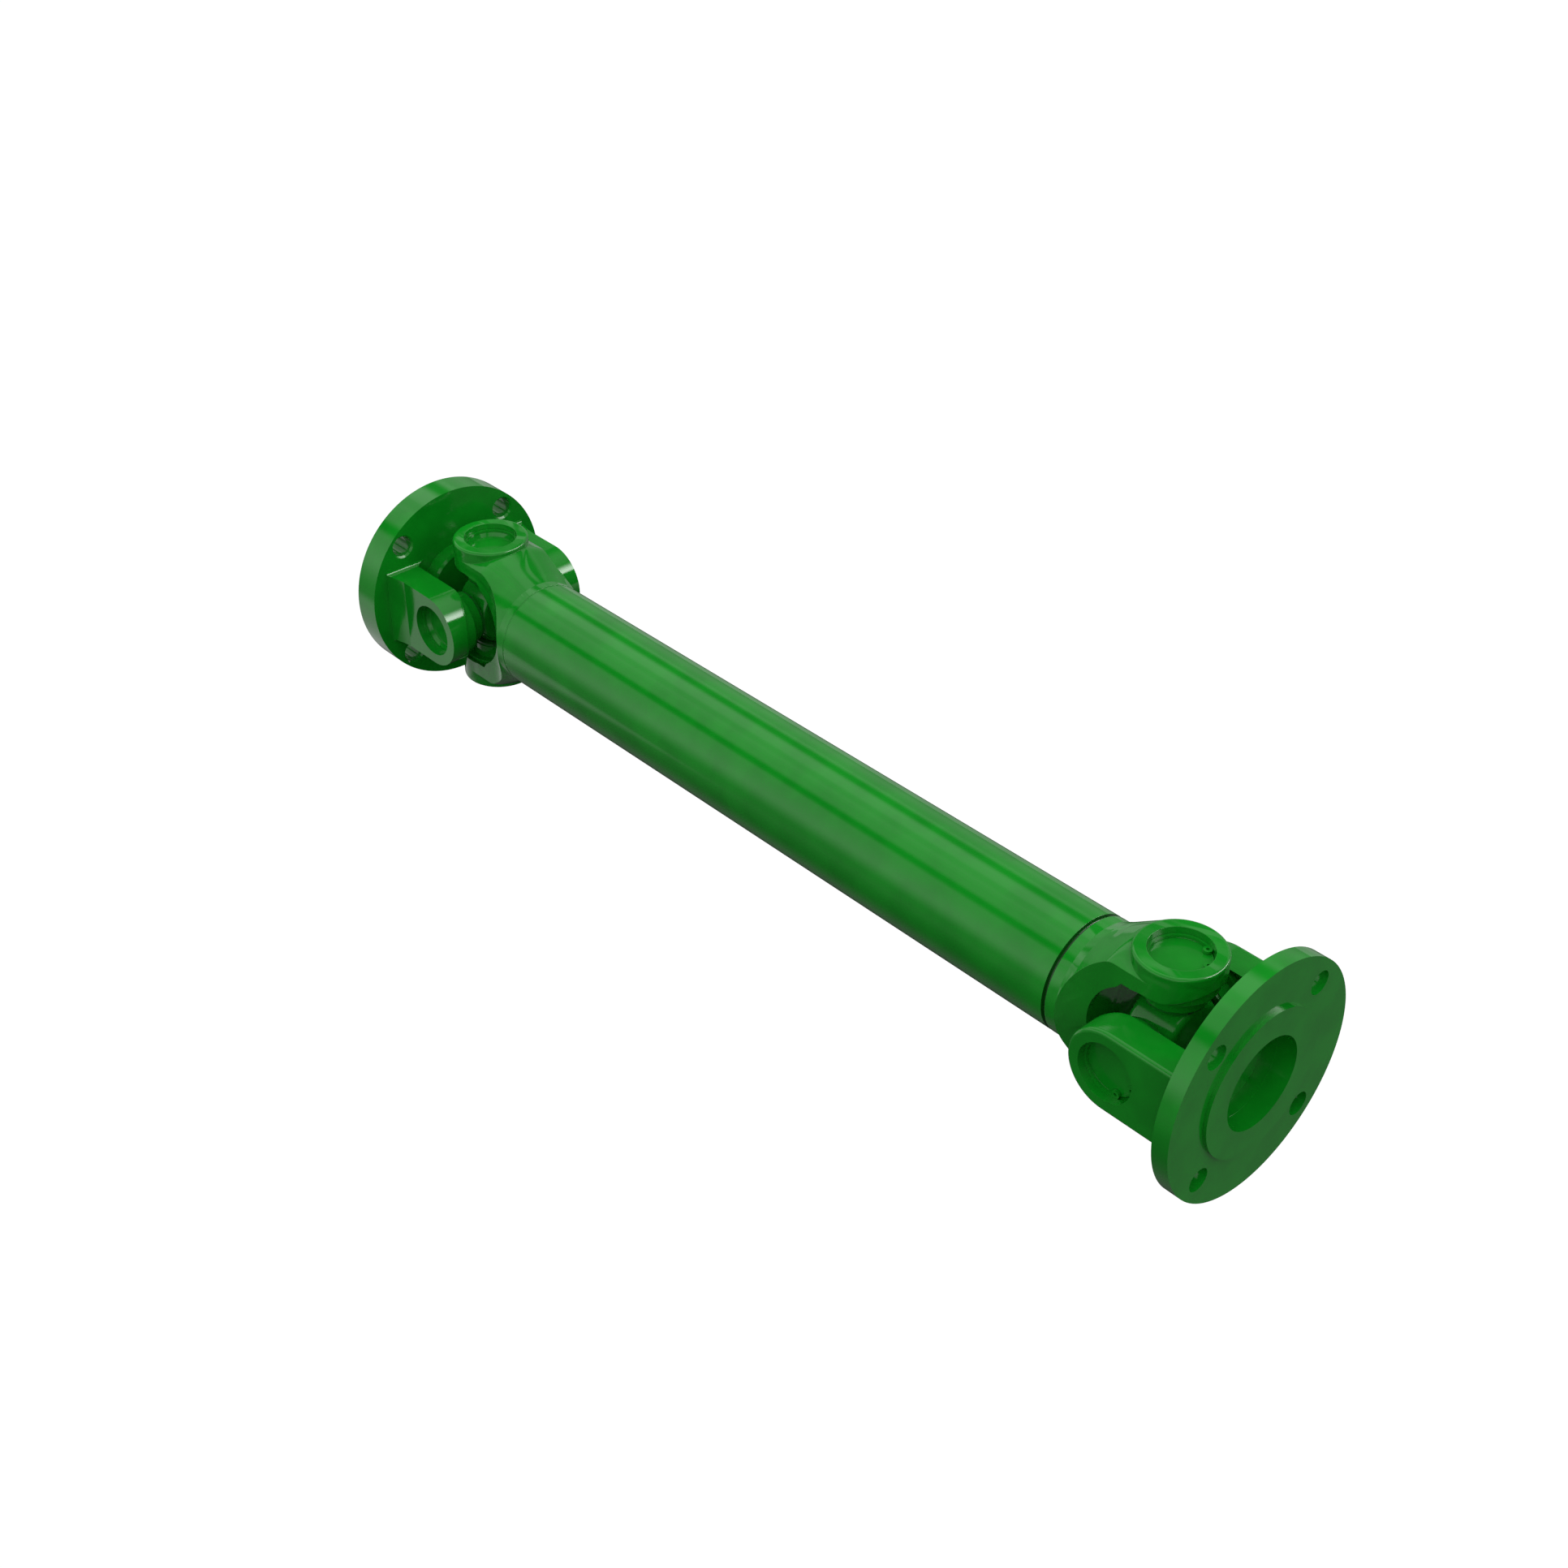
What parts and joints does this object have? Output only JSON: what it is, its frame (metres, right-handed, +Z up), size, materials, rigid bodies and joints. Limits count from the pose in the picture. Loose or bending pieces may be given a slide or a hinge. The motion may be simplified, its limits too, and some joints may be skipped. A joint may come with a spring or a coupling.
{
  "type": "drive shaft",
  "caption": "Fixed-length tubular drive shaft with a universal joint and a round bolting flange at each end.",
  "frame": {"origin": "centre of the bounding box, on the shaft's axis half-way between the two end faces", "axes": "+X along the shaft to the flange with the raised pilot, +Z up, so both tube yokes' bearing pins are vertical and both flange yokes' pins lie along Y"},
  "size_m": [0.483, 0.097, 0.097],
  "materials": {
    "tube_paint": "glossy green enamel on drawn tube",
    "yoke_paint": "glossy green enamel over a forged and turned surface",
    "weld_paint": "green enamel pooled in the groove over the weld's ripples",
    "cup_paint": "green enamel over turned steel",
    "ring_paint": "green enamel over spring steel",
    "cross_steel": "green enamel over the forged hub",
    "nipple_steel": "green enamel over plated steel",
    "bearing_steel": "ground and greased",
    "bearing_rubber": "matte black"
  },
  "bodies": {
    "tube": {"centre_tube": "tube_paint", "near_weld": "weld_paint", "near_tube_yoke": "yoke_paint", "near_top_cup": "cup_paint", "near_top_needles": "bearing_steel", "near_top_snap_ring": "ring_paint", "near_top_seal": "bearing_rubber", "near_bottom_cup": "cup_paint", "near_bottom_needles": "bearing_steel", "near_bottom_snap_ring": "ring_paint", "near_bottom_seal": "bearing_rubber", "far_weld": "weld_paint", "far_tube_yoke": "yoke_paint", "far_top_cup": "cup_paint", "far_top_needles": "bearing_steel", "far_top_snap_ring": "ring_paint", "far_top_seal": "bearing_rubber", "far_bottom_cup": "cup_paint", "far_bottom_needles": "bearing_steel", "far_bottom_snap_ring": "ring_paint", "far_bottom_seal": "bearing_rubber"},
    "near_cross": {"near_cross": "cross_steel", "near_grease_nipple": "nipple_steel"},
    "near_flange": {"near_flange_yoke": "yoke_paint", "near_front_cup": "cup_paint", "near_front_needles": "bearing_steel", "near_front_snap_ring": "ring_paint", "near_front_seal": "bearing_rubber", "near_back_cup": "cup_paint", "near_back_needles": "bearing_steel", "near_back_snap_ring": "ring_paint", "near_back_seal": "bearing_rubber"},
    "far_cross": {"far_cross": "cross_steel", "far_grease_nipple": "nipple_steel"},
    "far_flange": {"far_flange_yoke": "yoke_paint", "far_front_cup": "cup_paint", "far_front_needles": "bearing_steel", "far_front_snap_ring": "ring_paint", "far_front_seal": "bearing_rubber", "far_back_cup": "cup_paint", "far_back_needles": "bearing_steel", "far_back_snap_ring": "ring_paint", "far_back_seal": "bearing_rubber"}
  },
  "joints": [
    {"name": "near_cross_swing", "type": "hinge", "parent": "tube", "child": "near_cross", "pos_m": [0.2015, 0, 0], "axis": [0, 0, 1], "range_deg": [-18, 18]},
    {"name": "near_flange_swing", "type": "hinge", "parent": "near_cross", "child": "near_flange", "pos_m": [0.2015, 0, 0], "axis": [0, 1, 0], "range_deg": [-18, 18]},
    {"name": "far_cross_swing", "type": "hinge", "parent": "tube", "child": "far_cross", "pos_m": [-0.1985, 0, 0], "axis": [0, 0, 1], "range_deg": [-18, 18]},
    {"name": "far_flange_swing", "type": "hinge", "parent": "far_cross", "child": "far_flange", "pos_m": [-0.1985, 0, 0], "axis": [0, 1, 0], "range_deg": [-18, 18]}
  ]
}
